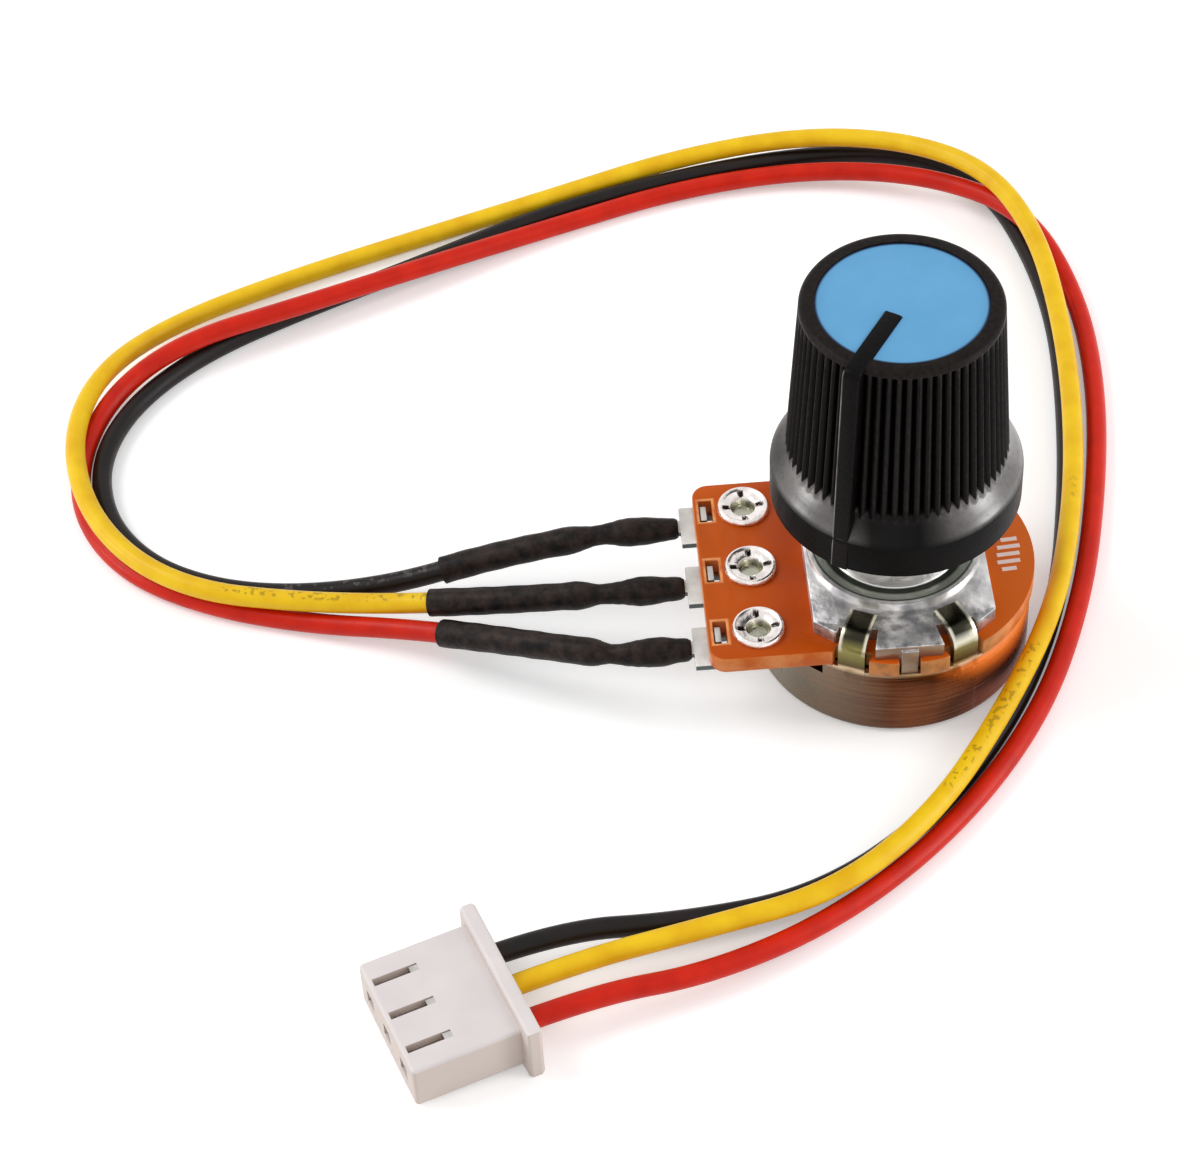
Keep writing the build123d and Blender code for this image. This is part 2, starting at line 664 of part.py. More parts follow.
for number, (colour, corners) in enumerate(routes.items(), start=1):
    y = terminal_y[number - 1]
    across = contact_y[number - 1]
    outward = Pos(0, y, joint_level) * Rot(0, -90, 0)
    bend = (-lug_reach - joint_run[colour], y, joint_level)
    points = [halfway(bend, corners[0])] + corners
    points += [in_plug(-plug_lead, across, wire_level), in_plug(wire_entry, across, wire_level)]
    radii = corner_radii(points)
    path = FilletPolyline(*points, radius=radii)
    print(colour, "length %.1f" % path.length, "radii", [round(radius, 1) for radius in radii])
    wire = tube(wire_radius, path)
    print(colour, "volume %.1f against %.1f" % (wire.volume, math.pi * wire_radius ** 2 * path.length))

    turn = math.radians((Vector(*corners[0]) - Vector(*bend)).get_angle(Vector(-1, 0, 0)))
    bend_radius = joint_bend_reach / math.tan(turn / 2)
    strand_end = (-lug_reach - strand_gap, y, joint_level)
    strand_path = FilletPolyline(strand_end, bend, points[0], radius=bend_radius)
    strand = tube(strand_radius, strand_path)
    parts[f"wire_{colour}"] = wire + strand
    parts[f"solder_{number}"] = (Pos(-solder_start, 0, 0) * outward * solder_drop
                                 - parts[f"terminal_{number}"] - strand)

    last = next(k for k, point in enumerate(points) if point[0] < -sleeve_reach) - 1
    swell_start = beyond(bend, corners[0], joint_bend_reach)
    swell_end = beyond(bend, corners[0], joint_bend_reach + swell_length)
    waist_start = (-sleeve_start - waist_depth, y, joint_level)
    waist_path = FilletPolyline(waist_start, bend, swell_end, radius=bend_radius)
    wide_points = [swell_end] + points[1:last + 1] + [halfway(points[last], points[last + 1])]
    wide_path = FilletPolyline(*wide_points, radius=radii[:last]) if last else Line(*wide_points)
    swell_plane = Plane(origin=swell_start, z_dir=Vector(*swell_end) - Vector(*swell_start))
    sleeve = tube(sleeve_waist, waist_path) + swell_plane * swell + tube(sleeve_radius, wide_path)
    sleeve = sleeve - tube(strand_radius + sleeve_fit, waist_path) - tube(wire_radius + sleeve_fit, wide_path)
    parts[f"sleeve_{colour}"] = sleeve + Pos(-sleeve_start, 0, 0) * outward * sleeve_joint

# ---- plug and its contacts ------------------------------------------------------------------------
plug_length = plug_flange_length + plug_body_length
flange_half = plug_flange_width / 2
body_half = plug_body_width / 2
housing = block((0, plug_flange_length), (-flange_half, flange_half), (0, plug_flange_height))
housing = housing + block((plug_flange_length, plug_length), (-body_half, body_half),
                          (plug_body_bottom, plug_body_top))
cavity_bottom = wire_level - cavity_height / 2
cavity_top = wire_level + cavity_height / 2
for y in contact_y:
    housing = housing - block((-1, plug_length - plug_end_wall), (y - cavity_width / 2, y + cavity_width / 2),
                              (cavity_bottom, cavity_top))
    housing = housing - block((0, plug_length + 1), (y - mating_width / 2, y + mating_width / 2),
                              (wire_level - mating_height / 2, wire_level + mating_height / 2))
    housing = housing - block((window_start, window_start + window_length),
                              (y - window_width / 2, y + window_width / 2),
                              (wire_level, plug_body_top + 1))
parts["plug_housing"] = plug_frame * housing

contact_half = cavity_width / 2 - contact_fit
contact_bottom = cavity_bottom + contact_fit
contact_top = cavity_top - contact_fit
contact = block((contact_start, contact_end), (-contact_half, contact_half), (contact_bottom, contact_top))
contact = contact - block((contact_start - 1, contact_end + 1),
                          (-contact_half + contact_sheet, contact_half - contact_sheet),
                          (contact_bottom + contact_sheet, contact_top - contact_sheet))
contact = contact + block((crimp_start, contact_start + contact_sheet), (-lug_half, lug_half),
                          (contact_bottom, contact_bottom + contact_sheet))
contact = contact + block((window_start, window_start + lance_length), (-lance_half, lance_half),
                          (contact_top - contact_sheet, contact_top + lance_height))
crimp = disc(wire_radius + contact_sheet, 0, crimp_end - crimp_start)
contact = contact + Pos(crimp_start, 0, wire_level) * Rot(0, 90, 0) * crimp
contact = contact - Pos(0, 0, wire_level) * Rot(0, 90, 0) * disc(wire_radius, 0, wire_entry)
for number, y in enumerate(contact_y, start=1):
    parts[f"contact_{number}"] = plug_frame * Pos(0, y, 0) * contact

# ---- files ----------------------------------------------------------------------------------------
os.makedirs("parts", exist_ok=True)
for name, shape in parts.items():
    export_step(shape, f"parts/{name}.step")
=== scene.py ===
import bmesh
import bpy
import math
from mathutils import Matrix, Vector


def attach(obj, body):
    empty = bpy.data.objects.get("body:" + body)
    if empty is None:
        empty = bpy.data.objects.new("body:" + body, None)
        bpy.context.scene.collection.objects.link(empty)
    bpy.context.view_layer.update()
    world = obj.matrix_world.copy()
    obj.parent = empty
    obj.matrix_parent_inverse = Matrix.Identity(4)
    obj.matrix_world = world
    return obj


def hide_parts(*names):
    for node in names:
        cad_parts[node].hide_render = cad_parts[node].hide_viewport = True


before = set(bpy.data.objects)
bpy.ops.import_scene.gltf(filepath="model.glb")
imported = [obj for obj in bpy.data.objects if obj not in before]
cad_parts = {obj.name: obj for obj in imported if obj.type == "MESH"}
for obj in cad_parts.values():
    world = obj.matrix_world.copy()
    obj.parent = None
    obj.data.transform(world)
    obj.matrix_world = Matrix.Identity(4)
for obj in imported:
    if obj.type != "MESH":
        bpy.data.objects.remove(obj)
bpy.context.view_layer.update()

# ---- studio ---------------------------------------------------------------------------------
# The control lies on a seamless white table under a soft white sky, with one large window to
# the upper left, a weaker one to the right and a small low light on each side, and is seen from
# above and in front.
MM = 0.001


def paint(red, green, blue):
    """A colour given as it looks on a screen, 0 to 255, for a shader."""
    parts = [c / 255 for c in (red, green, blue)]
    return tuple(c / 12.92 if c <= 0.04045 else ((c + 0.055) / 1.055) ** 2.4 for c in parts) + (1.0,)


class Amount:
    """A number that changes over a surface: sums on it become Math nodes of its finish."""

    def __init__(self, finish, socket):
        self.finish = finish
        self.socket = socket

    def sum(self, operation, *values):
        return self.finish.node("ShaderNodeMath", {"operation": operation}, values)

    def size(self):
        """The number without its sign."""
        return self.sum("ABSOLUTE", self)

    def __add__(self, other):
        return self.sum("ADD", self, other)

    def __sub__(self, other):
        return self.sum("SUBTRACT", self, other)

    def __rsub__(self, other):
        return self.sum("SUBTRACT", other, self)

    def __mul__(self, other):
        return self.sum("MULTIPLY", self, other)

    __radd__ = __add__
    __rmul__ = __mul__

    def between(self, low, high):
        """0 below low, 1 above high, and even in between."""
        return self.finish.node("ShaderNodeMapRange", {"clamp": True},
                                {"Value": self, "From Min": low, "From Max": high})


class Finish:
    """A procedural surface: one shader and the nodes that vary it."""

    def __init__(self, name, slot=None, **sockets):
        self.material = bpy.data.materials.new(name)
        self.material.use_nodes = True
        self.slot = slot
        self.tree = self.material.node_tree
        self.shader = self.tree.nodes["Principled BSDF"]
        self.fill(self.shader, {key.replace("_", " "): value for key, value in sockets.items()})

    def fill(self, node, sockets):
        pairs = sockets.items() if isinstance(sockets, dict) else enumerate(sockets)
        for key, value in pairs:
            if isinstance(value, Amount):
                self.tree.links.new(value.socket, node.inputs[key])
            else:
                node.inputs[key].default_value = value

    def node(self, kind, settings=None, sockets=(), output=0):
        node = self.tree.nodes.new(kind)
        for key, value in (settings or {}).items():
            setattr(node, key, value)
        self.fill(node, sockets)
        return Amount(self, node.outputs[output])

    def place(self, stretch=(1, 1, 1)):
        """Object coordinates in millimetres, stretched."""
        here = self.node("ShaderNodeTexCoord", output=3)
        scale = [1000 * part for part in stretch]
        return self.node("ShaderNodeMapping", {}, {"Vector": here, "Scale": scale})

    def axis(self, name):
        """One coordinate, in millimetres."""
        return self.node("ShaderNodeSeparateXYZ", {}, [self.place()], output="XYZ".index(name))

    def facing(self, name):
        """How far the surface faces along an axis, from -1 to 1."""
        normal = self.node("ShaderNodeTexCoord", output=1)
        return self.node("ShaderNodeSeparateXYZ", {}, [normal], output="XYZ".index(name))

    def radius(self):
        """Distance from the Z axis, in millimetres."""
        return self.node("ShaderNodeVectorMath", {"operation": "LENGTH"}, [self.place((1, 1, 0))], output=1)

    def noise(self, scale, detail=3.0, stretch=(1, 1, 1), rough=0.5):
        """Cloudy 0 to 1 noise; scale is in patches per millimetre."""
        return self.node("ShaderNodeTexNoise", {}, {"Vector": self.place(stretch), "Scale": scale,
                                                    "Detail": detail, "Roughness": rough})

    def blend(self, amount, low, high):
        """From one colour to another."""
        return self.node("ShaderNodeMix", {"data_type": "RGBA"}, {0: amount, 6: low, 7: high}, output=2)

    def relief(self, height, depth):
        """Bump of this depth in millimetres."""
        return self.node("ShaderNodeBump", {}, {"Height": height, "Distance": depth * MM, "Strength": 1.0})

    def put(self, **sockets):
        self.fill(self.shader, {key.replace("_", " "): value for key, value in sockets.items()})
        return self


def seen_directly(finish):
    """1 where the camera, a gloss or a clear surface looks, and 0 for soft light."""
    path = finish.tree.nodes.new("ShaderNodeLightPath")
    camera, glossy, clear = (Amount(finish, path.outputs[name])
                             for name in ("Is Camera Ray", "Is Glossy Ray", "Is Transmission Ray"))
    return camera.sum("MAXIMUM", camera.sum("MAXIMUM", camera, glossy), clear)


sky = Finish("sky")
world = bpy.data.worlds.new("sky")
world.use_nodes = True
sky.tree = world.node_tree
background = sky.tree.nodes["Background"]
background.inputs["Color"].default_value = (1, 1, 1, 1)
sky.fill(background, {"Strength": seen_directly(sky) * 0.38 + 0.62})
bpy.context.scene.world = world

table = Finish("table_white", Base_Color=(0.92, 0.92, 0.92, 1), Roughness=1.0)
table.fill(table.shader, {"Emission Color": (1, 1, 1, 1), "Specular IOR Level": 0.0,
                          "Emission Strength": seen_directly(table) * 0.3})
shape = bmesh.new()
bmesh.ops.create_grid(shape, x_segments=1, y_segments=1, size=3.0)
bmesh.ops.translate(shape, verts=shape.verts, vec=(0, 0, -0.00002))
mesh = bpy.data.meshes.new("table")
shape.to_mesh(mesh)
shape.free()
mesh.materials.append(table.material)
floor = bpy.data.objects.new("table", mesh)
bpy.context.collection.objects.link(floor)

target = Vector((-17.72, 6.16, 0.0)) * MM
distance = 215.99 * MM
azimuth, elevation, roll = (math.radians(angle) for angle in (-1.37, 47.71, 3.27))
focal_pixels = 3404.25
picture_width = 1200
level = math.cos(elevation)
back = Vector((math.sin(azimuth) * level, -math.cos(azimuth) * level, math.sin(elevation)))
right = Vector((math.cos(azimuth), math.sin(azimuth), 0.0))
up = back.cross(right)
side = math.cos(roll) * right - math.sin(roll) * up
top = math.sin(roll) * right + math.cos(roll) * up
lens = bpy.data.cameras.new("camera")
lens.sensor_fit = "HORIZONTAL"
lens.sensor_width = 36.0
lens.lens = focal_pixels * lens.sensor_width / picture_width
lens.clip_start = 0.01
camera = bpy.data.objects.new("camera", lens)
axes = Matrix((side, top, back)).transposed().to_4x4()
camera.matrix_world = Matrix.Translation(target + back * distance) @ axes
bpy.context.collection.objects.link(camera)
bpy.context.scene.camera = camera
bpy.context.scene.view_settings.view_transform = "Standard"

for name, place, size, power in (("window_left", (-0.35, 0.10, 0.42), 0.25, 1.0),
                                 ("window_right", (0.40, -0.05, 0.30), 0.2, 0.45),
                                 ("low_left", (-0.44, 0.0, 0.11), 0.12, 0.36),
                                 ("low_right", (0.42, -0.12, 0.10), 0.15, 0.6)):
    lamp = bpy.data.lights.new(name, "AREA")
    lamp.energy = power
    lamp.size = size
    holder = bpy.data.objects.new(name, lamp)
    spot = Vector(place)
    holder.location = spot
    holder.rotation_euler = (Vector((0, 0, 0.01)) - spot).to_track_quat("-Z", "Y").to_euler()
    bpy.context.collection.objects.link(holder)

# ---- tools ----------------------------------------------------------------------------------
# Ways to make a piece: from new geometry, from a solid with its edges eased, or as an even
# finish on solids that need no more.


def spun(outline, steps):
    """A line of (radius, height) corners, in millimetres, spun round the Z axis."""
    shape = bmesh.new()
    corners = [shape.verts.new((radius * MM, 0, height * MM)) for radius, height in outline]
    edges = [shape.edges.new(pair) for pair in zip(corners, corners[1:])]
    bmesh.ops.spin(shape, geom=corners + edges, axis=(0, 0, 1), cent=(0, 0, 0), angle=math.tau, steps=steps,
                   use_merge=True, use_duplicate=False)
    bmesh.ops.remove_doubles(shape, verts=shape.verts, dist=0.0005 * MM)
    bmesh.ops.recalc_face_normals(shape, faces=shape.faces)
    return shape


def piece(name, shape, finish, body, *solids):
    """A finished piece made from bmesh geometry in metres, standing for the solids named."""
    for face in shape.faces:
        face.smooth = True
    mesh = bpy.data.meshes.new(name)
    shape.to_mesh(mesh)
    shape.free()
    mesh.set_sharp_from_angle(angle=math.radians(32))
    mesh.materials.append(finish.material)
    made = bpy.data.objects.new(name, mesh)
    bpy.context.collection.objects.link(made)
    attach(made, body)
    if solids:
        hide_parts(*solids)
    return made


def eased(solid, name, finish, width, body="base", weld=0.001, level=None, outer=False):
    """A solid with its sharp edges rounded over this width in millimetres. Steps smaller than weld
    are closed, and long faces are divided at a level. Outer keeps to corners longer than 3 mm."""
    shape = bmesh.new()
    shape.from_mesh(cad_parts[solid].data)
    bmesh.ops.remove_doubles(shape, verts=shape.verts, dist=weld * MM)
    bmesh.ops.dissolve_limit(shape, angle_limit=math.radians(0.5), verts=shape.verts, edges=shape.edges)
    if level is not None:
        bmesh.ops.bisect_plane(shape, geom=list(shape.verts) + list(shape.edges) + list(shape.faces),
                               plane_co=(0, 0, level * MM), plane_no=(0, 0, 1))
    sharp = [edge for edge in shape.edges
             if len(edge.link_faces) == 2 and edge.calc_face_angle() > math.radians(35)]
    if outer:
        sharp = [edge for edge in sharp
                 if edge.calc_length() > 3.0 * MM and edge.calc_face_angle_signed() > 0]
    bmesh.ops.bevel(shape, geom=sharp, offset=width * MM, offset_type="OFFSET", affect="EDGES",
                    segments=4 if outer else 2, profile=0.5, material=-1, clamp_overlap=not outer)
    return piece(name, shape, finish, body, solid)


def plain(name, slot, solids, colour, metallic, roughness):
    """An even finish with a fine grain, put on solids that need no more."""
    finish = Finish(name, slot, Metallic=metallic)
    dark = tuple(value * 0.75 for value in colour[:3]) + (1,)
    finish.put(Base_Color=finish.blend(finish.noise(1.2).between(0.3, 0.7), dark, colour),
               Roughness=finish.noise(2.0) * 0.2 + (roughness - 0.1),
               Normal=finish.relief(finish.noise(6.0, 2.0), 0.006))
    for solid in solids:
        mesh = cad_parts[solid].data
        mesh.materials.clear()
        mesh.materials.append(finish.material)


# ---- rear can -------------------------------------------------------------------------------
# One drawn cup of thin passivated steel. Four claws of the same sheet are folded over the front
# plate and hold the control together; drawing leaves fine level lines round its wall.
can = Finish("passivated_steel", "can_metal")
height = can.axis("Z")
beside = can.axis("X")
lines = can.noise(1.0, 2.0, stretch=(0.12, 0.12, 5.0))
stains = can.noise(0.22, 1.0, stretch=(1, 1, 0.6)).between(0.42, 0.6)
wall = can.blend(stains, (0.085, 0.02, 0.005, 1), (0.15, 0.042, 0.012, 1))
# The wall is painted grey towards the left and red towards the right: painted reflections of what stands
# round it.
wall = can.blend(beside.between(-1.0, -7.5), wall, (0.22, 0.20, 0.15, 1))
wall = can.blend(beside.between(3.0, 7.5), wall, (0.46, 0.075, 0.02, 1))
# High on the wall's front right, under the board, an orange patch is a painted reflection of the board; it
# is made less metallic there so that the paint shows.
painted_board_reflection = height.between(2.2, 4.2) * height.between(5.6, 5.35) * beside.between(1.4, 4.4)
painted_board_reflection = painted_board_reflection * can.axis("Y").between(3.0, 0.0)
wall = can.blend(painted_board_reflection, wall, (0.95, 0.24, 0.035, 1))
wall = can.blend(lines.between(0.45, 0.8) * 0.45, wall, (0.30, 0.15, 0.07, 1))
wall = can.blend(height.between(4.95, 5.3), wall, (0.62, 0.46, 0.30, 1))
claws = can.blend(height.between(5.6, 6.8), (0.09, 0.062, 0.025, 1), (0.24, 0.215, 0.075, 1))
claws = can.blend(height.between(6.7, 7.3) * beside.between(-2.0, 2.0), claws, (0.88, 0.85, 0.70, 1))
claw_angle = math.radians(24)
across = beside.size() * math.cos(claw_angle) - can.axis("Y").size() * math.sin(claw_angle)
inside = across.size().between(0.72, 0.58)
claws = can.blend(inside.sum("MAXIMUM", inside, height.between(7.2, 6.6)), (0.70, 0.67, 0.55, 1), claws)
# The upward faces along the middle of the claws' folded tops are painted nearly black: a painted reflection
# of the knob's dark underside.
claws = can.blend(can.facing("Z").between(0.35, 0.75) * inside, claws, (0.035, 0.033, 0.022, 1))
can.put(Base_Color=can.blend(height.between(5.35, 5.6), wall, claws),
        Metallic=1 - painted_board_reflection * 0.55,
        Roughness=can.noise(0.8) * 0.16 + 0.2,
        Normal=can.relief(lines, 0.02))
eased("rear_can", "can", can, 0.05, weld=0.04, level=4.0)

# ---- resistance board and its tracks --------------------------------------------------------
# A punched plate of orange phenolic laminate. The carbon track and the silver ring are printed
# on its underside, and a few plain white marks on its top.
terminal_pitch = 5.0
board_top = 6.5
board = Finish("orange_laminate", "board", Specular_IOR_Level=0.16)
beside = board.axis("X")
along = board.axis("Y")
tail = beside.between(-2.0, -5.0)
face = board.blend(board.noise(0.35).between(0.35, 0.7), paint(206, 86, 10), paint(188, 82, 4))
face = board.blend(beside.between(4.0, 7.0), face, paint(206, 94, 14))
face = board.blend(beside.between(-9.5, -6.5) * tail, face, paint(178, 66, 2))
face = board.blend(along.between(-4.5, -6.5) * tail * 0.8, face, paint(182, 74, 2))
# The board's sides and eased edges are painted paler and peach: a painted edge highlight.
rim = board.blend(board.noise(0.6).between(0.4, 0.65), paint(198, 94, 24), paint(220, 136, 76))
# At the board's front tip, beside the left claw, its edge turns greyer and browner.
front = along.between(-6.0, -7.0) * beside.between(-4.5, -3.5)
greyish_brown = board.blend(board.noise(1.3).between(0.4, 0.6), paint(150, 112, 70), paint(196, 134, 78))
rim = board.blend(front * 0.75, rim, greyish_brown)
slot_place = -11.0
slot_half_length = 0.4
slot_half_width = 0.875
row = along.sum("WRAP", along, terminal_pitch / 2, -terminal_pitch / 2)
past = (beside - slot_place).size() - slot_half_length
past = past.sum("MAXIMUM", past, row.size() - slot_half_width)
face = board.blend(past.between(0.22, 0.1) * board.noise(1.5).between(0.2, 0.6), face, paint(244, 168, 108))
board.put(Base_Color=board.blend(board.facing("Z").between(0.98, 0.7), face, rim),
          Roughness=board.noise(1.6) * 0.2 + 0.26,
          Normal=board.relief(board.noise(2.4, 4.0), 0.012))
eased("track_board", "board", board, 0.1)

plain("printed_carbon", "carbon", ["carbon_track"], (0.02, 0.02, 0.02, 1), 0.0, 0.6)
plain("printed_silver", "silver_film", ["collector_ring"], (0.6, 0.6, 0.6, 1), 1.0, 0.45)

ink = Finish("white_ink", "board", Roughness=0.6, Base_Color=paint(238, 214, 206))
shape = bmesh.new()
ink_thickness = 0.02
ink_turn = Matrix.Rotation(math.radians(4), 4, "Z")
for x, y, length in ((7.2, 0.75, 1.0), (7.1, 0.15, 1.4), (7.0, -0.45, 1.4), (6.95, -1.05, 1.4),
                     (6.9, -1.65, 0.9)):
    place = Matrix.Translation((x * MM, y * MM, (board_top + ink_thickness / 2) * MM))
    bar = Matrix.Diagonal((length * MM, 0.3 * MM, ink_thickness * MM, 1))
    bmesh.ops.create_cube(shape, size=1.0, matrix=place @ ink_turn @ bar)
piece("board_marks", shape, ink, "base")

# ---- terminals and rivets -------------------------------------------------------------------
# Three flat tinned tags under the board. One tubular rivet each holds them, its head rolled
# over and split, and a bent-up barb stands in a punched hole behind the board's edge.
tag = Finish("dull_tin", "terminal_metal", Metallic=1.0)
skin = tag.blend(tag.noise(0.9).between(0.35, 0.7), (0.50, 0.48, 0.45, 1), (0.64, 0.62, 0.59, 1))
# The tags' faces towards the front are painted dark: painted shade along their near edges.
tag.put(Base_Color=tag.blend(tag.facing("Y").between(-0.6, -0.9), skin, (0.10, 0.11, 0.11, 1)),
        Roughness=tag.noise(1.5) * 0.25 + 0.3,
        Normal=tag.relief(tag.noise(3.0, 3.0), 0.01))
for number in (1, 2, 3):
    eased(f"terminal_{number}", f"tag_{number}", tag, 0.04)

rivet = Finish("bright_tin", "rivet_metal", Metallic=1.0)
rivet_reach = 8.7
across = rivet.axis("X") + rivet_reach
along = rivet.axis("Y")
along = along.sum("WRAP", along, terminal_pitch / 2, -terminal_pitch / 2)
radius = rivet.node("ShaderNodeVectorMath", {"operation": "LENGTH"},
                    [rivet.node("ShaderNodeCombineXYZ", {}, [across, along])], output=1)
skin = rivet.blend(rivet.noise(1.6).between(0.4, 0.65), (0.96, 0.89, 0.86, 1), (0.74, 0.69, 0.66, 1))
skin = rivet.blend(radius.between(0.78, 0.62), skin, (0.46, 0.45, 0.36, 1))
# The splits in the rolled head are painted nearly black: painted shade inside the splits.
slit = across.sum("MINIMUM", across.size(), along.size()).between(0.16, 0.1)
slit = slit * radius.between(0.8, 0.88) * radius.between(1.3, 1.22)
rivet.put(Base_Color=rivet.blend(slit, skin, (0.03, 0.025, 0.02, 1)),
          Roughness=rivet.noise(2.5) * 0.2 + 0.16,
          Normal=rivet.relief(rivet.noise(2.2, 3.0), 0.03))

rivet_outline = [
    (0, 4.65), (1.3, 4.65), (1.35, 4.7), (1.35, 4.9), (1.0, 4.9), (1.0, 6.5), (1.55, 6.5), (1.6, 6.6),
    (1.58, 6.74), (1.51, 6.84), (1.4, 6.87), (1.3, 6.83), (1.23, 6.77), (1.08, 6.75), (0.92, 6.72),
    (0.78, 6.66), (0.67, 6.5), (0.6, 6.2), (0.55, 6.1), (0, 6.1),
]
rivet_turn = Matrix.Rotation(math.radians(4), 3, "Z")
slit_half = 0.12
slit_near, slit_far = 0.85, 1.25
slit_floor = board_top + 0.02
rim_underside = 6.55
for number in (1, 2, 3):
    shape = spun(rivet_outline, 120)
    for vert in shape.verts:
        reach = math.hypot(vert.co.x, vert.co.y) / MM
        narrow = min(abs(vert.co.x), abs(vert.co.y)) / MM
        if slit_near < reach < slit_far and vert.co.z > rim_underside * MM and narrow < slit_half:
            vert.co.z = slit_floor * MM
    place = Vector((-rivet_reach, (2 - number) * terminal_pitch, 0)) * MM
    bmesh.ops.rotate(shape, verts=shape.verts, cent=(0, 0, 0), matrix=rivet_turn)
    bmesh.ops.translate(shape, verts=shape.verts, vec=place)
    piece(f"rolled_rivet_{number}", shape, rivet, "base", f"rivet_{number}")

# ---- front plate and bushing ----------------------------------------------------------------
# One zinc die casting: the plate under the claws, the round boss with its collar, and the
# threaded bushing that holds the shaft. It is bare, with a satin skin and bright edges.
cast = Finish("cast_zinc", "plate_metal", Metallic=0.8)
patches = cast.noise(0.55, 3.0)
radius = cast.radius()
height = cast.axis("Z")
skin = cast.blend(patches.between(0.35, 0.6), (0.50, 0.49, 0.50, 1), (0.95, 0.93, 0.91, 1))
tab = cast.axis("Y").between(-4.9, -5.7) * cast.noise(1.5, 4.0).between(0.4, 0.62)
skin = cast.blend(tab, skin, (0.30, 0.30, 0.31, 1))
# The boss top is painted in rings under the knob: grey-green at its edge, a nearly black line just inside
# that, and nearly black round the collar. These are painted shade.
boss = height.between(8.0, 8.08)
skin = cast.blend(boss * radius.between(5.12, 5.0), skin, (0.34, 0.36, 0.31, 1))
groove_shade = boss * radius.between(5.05, 4.98) * radius.between(4.88, 4.95)
skin = cast.blend(groove_shade, skin, (0.05, 0.055, 0.05, 1))
skin = cast.blend(boss * radius.between(4.55, 4.4), skin, (0.035, 0.04, 0.03, 1))
skin = cast.blend(height.between(8.12, 8.2), skin, (0.97, 0.95, 0.92, 1))
# The plate's low faces towards the front are painted dark brown: painted shade.
edge = cast.facing("Y").between(-0.75, -0.95) * height.between(7.6, 7.4)
cast.put(Base_Color=cast.blend(edge, skin, (0.30, 0.21, 0.15, 1)), Roughness=cast.noise(1.2) * 0.2 + 0.26,
         Normal=cast.relief(cast.noise(1.8, 4.0), 0.04))
eased("mounting_plate", "front_plate", cast, 0.09)

# ---- shaft, rotor and wiper -----------------------------------------------------------------
# The splined aluminium shaft turns in the bushing, kept by a split ring, and carries the
# moulded rotor with its phosphor bronze wiper inside the can.
plain("turned_aluminium", "shaft_metal", ["shaft"], (0.68, 0.68, 0.69, 1), 1.0, 0.32)
plain("spring_ring", "ring_metal", ["retaining_ring"], (0.35, 0.35, 0.36, 1), 1.0, 0.35)
plain("rotor_moulding", "rotor_plastic", ["rotor"], (0.05, 0.05, 0.05, 1), 0.0, 0.5)
plain("wiper_strip", "wiper_metal", ["wiper"], (0.7, 0.5, 0.28, 1), 1.0, 0.3)

# ---- knob and cap ---------------------------------------------------------------------------
# A push-on knob moulded in black plastic: fine ribs for grip, a flared skirt, a pointer that
# runs from the top down one side, and a matt blue cap pressed into its top.
knob_foot = 12.9
knob_head = 27.8
rib_top = 27.35
rib_count = 64
rib_depth = 0.34
rib_lean = 0.0647
rib_foot = 15.7
crown_radius = 5.6
cone_foot, cone_height = 15.6, 11.75
cone_radius, cone_taper = 6.64, 0.76
pointer_angle = math.radians(-123)
pointer_half = 0.525
pointer_lean = 0.0706


def cone(z):
    """Radius of the rib crests at a height."""
    return cone_radius - cone_taper * (z - cone_foot) / cone_height


flare = [(7.48, 12.98), (7.48, 15.1), (7.46, 15.25), (7.38, 15.42), (7.2, 15.66), (6.96, 15.92),
         (6.74, 16.18), (6.54, 16.46), (6.36, 16.78), (6.2, 17.2), (6.0, 17.9), (5.7, 19.0)]


def skirt(z):
    """Radius of the flared skirt at a height, or nothing above it."""
    for (wide, low), (narrow, high) in zip(flare, flare[1:]):
        if low <= z <= high:
            return wide + (narrow - wide) * (z - low) / (high - low)
    return 0.0


grip = [rib_top - 1.02 * step for step in range(10)] + [17.2 - 0.08 * step for step in range(18)]
outline = [(0, 25.6), (2.02, 25.6), (2.02, 26.9), (4.97, 26.9), (4.97, 27.76), (5.01, knob_head),
           (5.5, knob_head), (5.68, 27.75), (5.8, 27.66), (5.87, 27.54), (5.88, 27.4)]
outline += [(max(cone(z), skirt(z)), z) for z in grip]
outline += [corner for corner in reversed(flare) if corner[1] < 15.8]
outline += [(7.4, knob_foot), (6.6, knob_foot), (6.5, 13.0), (6.5, 15.3), (5.1, 15.3), (5.1, 25.0),
            (4.2, 25.0), (4.2, 15.0), (3.02, 15.0), (3.02, 23.6), (0, 23.6)]
shape = spun(outline, 6 * rib_count)
for vert in shape.verts:
    reach = math.hypot(vert.co.x, vert.co.y)
    z = vert.co.z / MM
    if reach > crown_radius * MM and rib_foot < z < rib_top + 0.01:
        phase = math.atan2(vert.co.y, vert.co.x) / math.tau * rib_count
        valley = cone(z) - rib_depth * (1 - abs(math.sin(math.pi * phase)))
        scale = max(valley, skirt(z)) * MM / reach
        vert.co.x *= scale
        vert.co.y *= scale

black = Finish("black_moulding", "knob_black", Specular_IOR_Level=0.07, Coat_IOR=1.8, Coat_Roughness=0.28)
height = black.axis("Z")
radius = black.radius()
grain = black.noise(3.5, 3.0)
